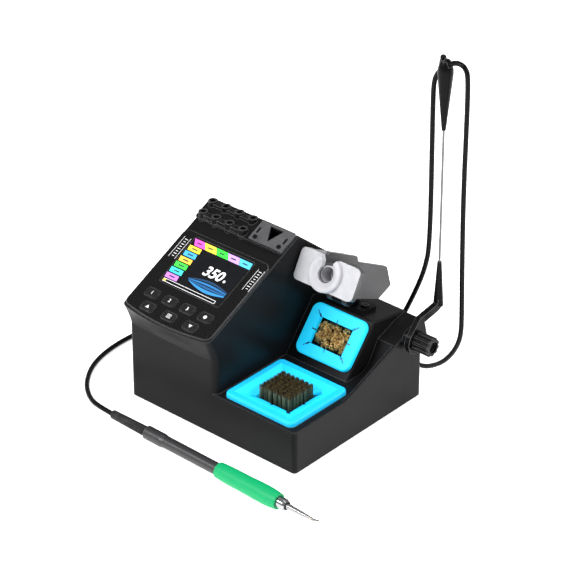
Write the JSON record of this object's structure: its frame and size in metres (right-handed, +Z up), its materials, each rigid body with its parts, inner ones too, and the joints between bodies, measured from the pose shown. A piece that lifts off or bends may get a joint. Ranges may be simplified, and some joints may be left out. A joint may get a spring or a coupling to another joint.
{
  "type": "soldering iron station",
  "caption": "Soldering station with leaning display panel, tip tray, brush and brass wool pads, iron holder, cable arm and a slim iron on its cable.",
  "frame": {"origin": "middle of the box round the case, arm and iron, on the bench", "axes": "+Z up, +X to the right, -Y towards the user"},
  "size_m": [0.252, 0.2202, 0.2516],
  "materials": {
    "case_plastic": "fine moulded texture, charcoal black",
    "fascia_plastic": "smooth black front plate",
    "key_plastic": "smooth black key caps with plain signs",
    "display_glass": "dark display glass",
    "display_module": "display panel",
    "circuit_board": "green circuit board",
    "black_rubber": "black rubber",
    "zinc_steel": "zinc plated screws and pin",
    "puller_steel": "brushed steel plate",
    "rod_steel": "drawn steel rod",
    "blue_silicone": "bright blue silicone",
    "bristle_fibre": "brown bristles",
    "brass_turnings": "curled brass turnings",
    "holder_silver": "silver painted cast plate",
    "holder_grey": "dark grey painted casting",
    "arm_plastic": "smooth black plastic",
    "fitting_plastic": "black fitting plastic",
    "plug_metal": "black plated plug barrel",
    "handle_plastic": "dark grey handle tube",
    "green_grip": "green silicone sleeve",
    "chrome_collar": "bright collar",
    "tip_metal": "plated tip cartridge"
  },
  "bodies": {
    "root": {"arm_boss": "arm_plastic", "base_plate": "case_plastic", "base_screws": "zinc_steel", "bracket_screws": "zinc_steel", "cable": "black_rubber", "cable_plug": "plug_metal", "control_board": "circuit_board", "display_lens": "display_glass", "fascia": "fascia_plastic", "handle_collar": "chrome_collar", "handle_grip": "green_grip", "handle_socket": "fitting_plastic", "handle_tail": "black_rubber", "handle_tube": "handle_plastic", "holder_bracket": "holder_grey", "key_board": "circuit_board", "lcd_module": "display_module", "plug_boot": "black_rubber", "power_inlet": "fitting_plastic", "power_supply": "circuit_board", "puller_screws": "zinc_steel", "rubber_feet": "black_rubber", "switch_frame": "fitting_plastic", "tip_puller_plate": "puller_steel", "tip_tray": "case_plastic", "upper_housing": "case_plastic"},
    "arm": {"arm_lower": "arm_plastic", "arm_rod": "rod_steel", "arm_clip": "arm_plastic"},
    "knob": {"arm_knob": "arm_plastic", "arm_screw": "zinc_steel"},
    "holder": {"holder_body": "holder_grey", "holder_plate": "holder_silver", "holder_pin": "zinc_steel"},
    "rocker": {"power_rocker": "fitting_plastic"},
    "brush_insert": {"brush_pad": "blue_silicone", "brush_bristles": "bristle_fibre"},
    "wool_insert": {"wool_pad": "blue_silicone", "brass_wool": "brass_turnings"},
    "tip": {"tip_cartridge": "tip_metal"},
    "key_one_cap": {"key_one": "key_plastic"},
    "key_two_cap": {"key_two": "key_plastic"},
    "key_three_cap": {"key_three": "key_plastic"},
    "key_set_cap": {"key_set": "key_plastic"},
    "key_up_cap": {"key_up": "key_plastic"},
    "key_menu_cap": {"key_menu": "key_plastic"},
    "key_down_cap": {"key_down": "key_plastic"}
  },
  "joints": [
    {"name": "arm_tilt", "type": "hinge", "parent": "root", "child": "arm", "pos_m": [0.0517, 0.064, 0.0525], "axis": [1, 0, 0], "range_deg": [-20, 40], "deforming": ["cable"]},
    {"name": "knob_turn", "type": "hinge", "parent": "root", "child": "knob", "pos_m": [0.0517, 0.064, 0.0525], "axis": [1, 0, 0], "range_deg": [0, 720]},
    {"name": "holder_tilt", "type": "hinge", "parent": "root", "child": "holder", "pos_m": [0.004, 0.04257, 0.07601], "axis": [1, 0, 0], "range_deg": [-3, 15]},
    {"name": "power_switch", "type": "hinge", "parent": "root", "child": "rocker", "pos_m": [-0.0536, 0.0759, 0.028], "axis": [1, 0, 0], "range_deg": [-18, 0]},
    {"name": "brush_lift", "type": "slide", "parent": "root", "child": "brush_insert", "axis": [0, 0, 1], "range_m": [0, 0.014]},
    {"name": "wool_pull", "type": "slide", "parent": "root", "child": "wool_insert", "axis": [0, -0.7749, 0.632], "range_m": [0, 0.022]},
    {"name": "tip_pull", "type": "slide", "parent": "root", "child": "tip", "axis": [0.9993, -0.0349, 0.0157], "range_m": [0, 0.045]},
    {"name": "key_one_press", "type": "slide", "parent": "root", "child": "key_one_cap", "axis": [0, 0.4352, -0.9003], "range_m": [0, 0.0005], "stiffness_N_per_m": 400},
    {"name": "key_two_press", "type": "slide", "parent": "root", "child": "key_two_cap", "axis": [0, 0.4352, -0.9003], "range_m": [0, 0.0005], "stiffness_N_per_m": 400},
    {"name": "key_three_press", "type": "slide", "parent": "root", "child": "key_three_cap", "axis": [0, 0.4352, -0.9003], "range_m": [0, 0.0005], "stiffness_N_per_m": 400},
    {"name": "key_set_press", "type": "slide", "parent": "root", "child": "key_set_cap", "axis": [0, 0.4352, -0.9003], "range_m": [0, 0.0005], "stiffness_N_per_m": 400},
    {"name": "key_up_press", "type": "slide", "parent": "root", "child": "key_up_cap", "axis": [0, 0.4352, -0.9003], "range_m": [0, 0.0005], "stiffness_N_per_m": 400},
    {"name": "key_menu_press", "type": "slide", "parent": "root", "child": "key_menu_cap", "axis": [0, 0.4352, -0.9003], "range_m": [0, 0.0005], "stiffness_N_per_m": 400},
    {"name": "key_down_press", "type": "slide", "parent": "root", "child": "key_down_cap", "axis": [0, 0.4352, -0.9003], "range_m": [0, 0.0005], "stiffness_N_per_m": 400}
  ]
}
